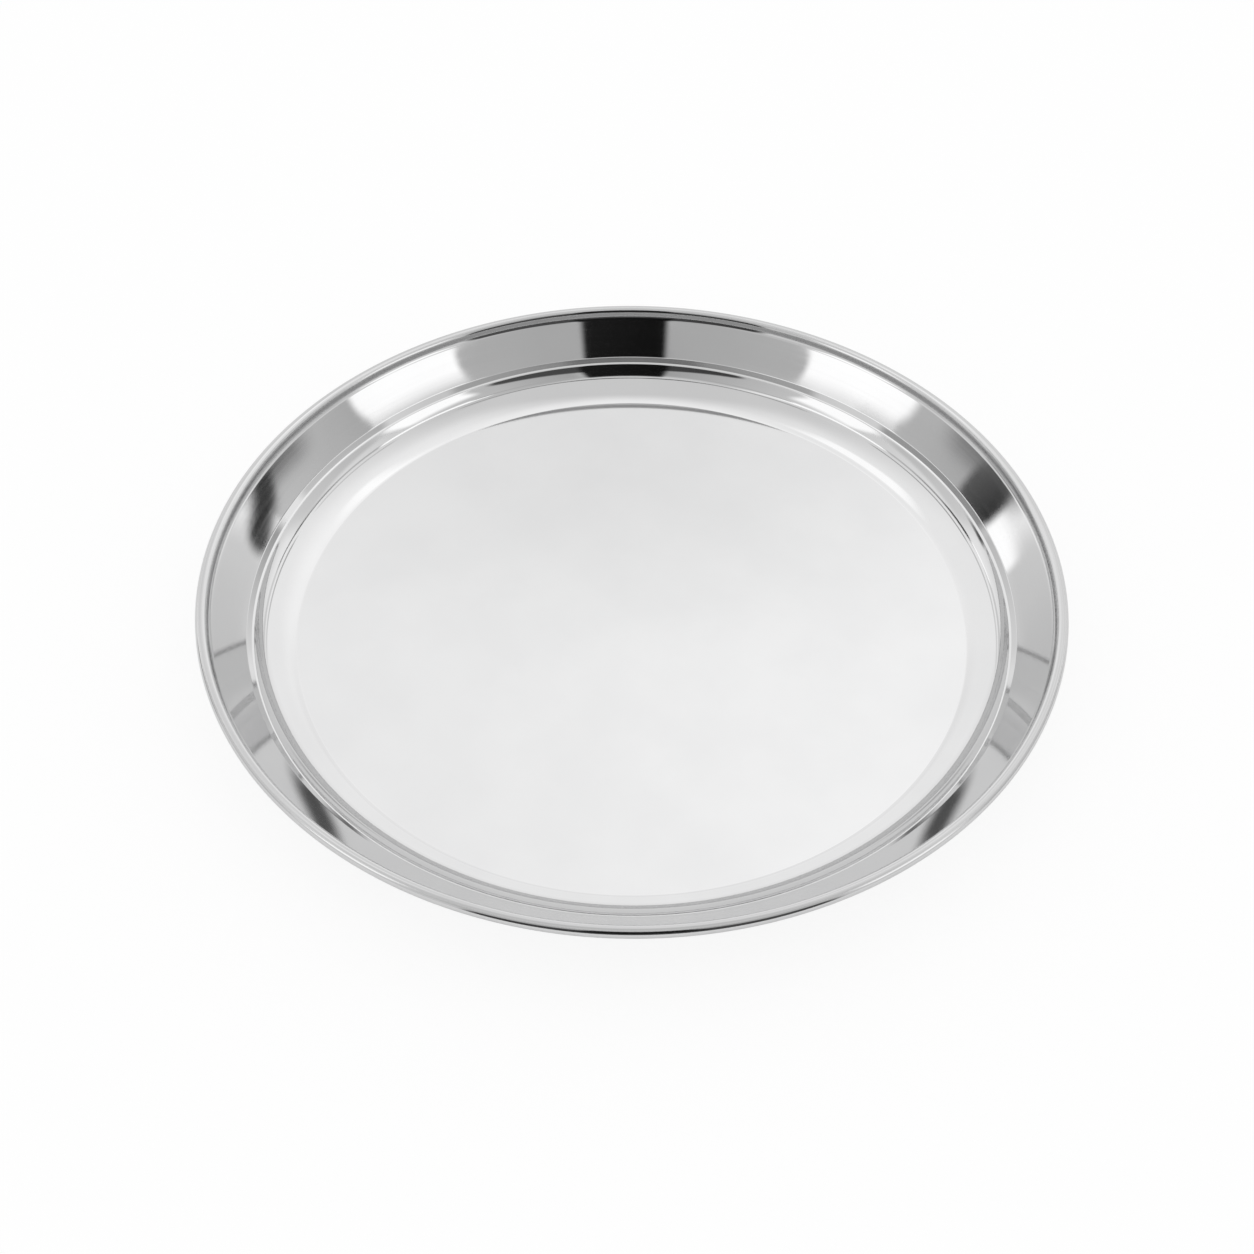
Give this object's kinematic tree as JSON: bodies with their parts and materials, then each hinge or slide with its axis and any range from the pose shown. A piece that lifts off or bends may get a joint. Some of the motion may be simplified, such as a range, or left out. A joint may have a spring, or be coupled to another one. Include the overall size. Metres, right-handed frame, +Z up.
{
  "type": "thali plate",
  "caption": "Round stainless-steel thali plate with a flat floor, a hollow cove, a narrow ledge, a flared wall and a rim curled over a wire hoop.",
  "frame": {"origin": "centre of the underside of the flat floor, on the surface that the plate stands on", "axes": "+Z up along the plate's axis of revolution, X and Y in the plane of the floor, with the gap between the wire's ends at +Y"},
  "size_m": [0.3, 0.3, 0.027],
  "materials": {
    "polished_steel": "mirror-polished stainless-steel sheet with faint polishing lines",
    "drawn_wire": "plain drawn steel wire, closed in by the rim"
  },
  "bodies": {
    "root": {"pressed_dish": "polished_steel", "rim_wire": "drawn_wire"}
  },
  "joints": []
}
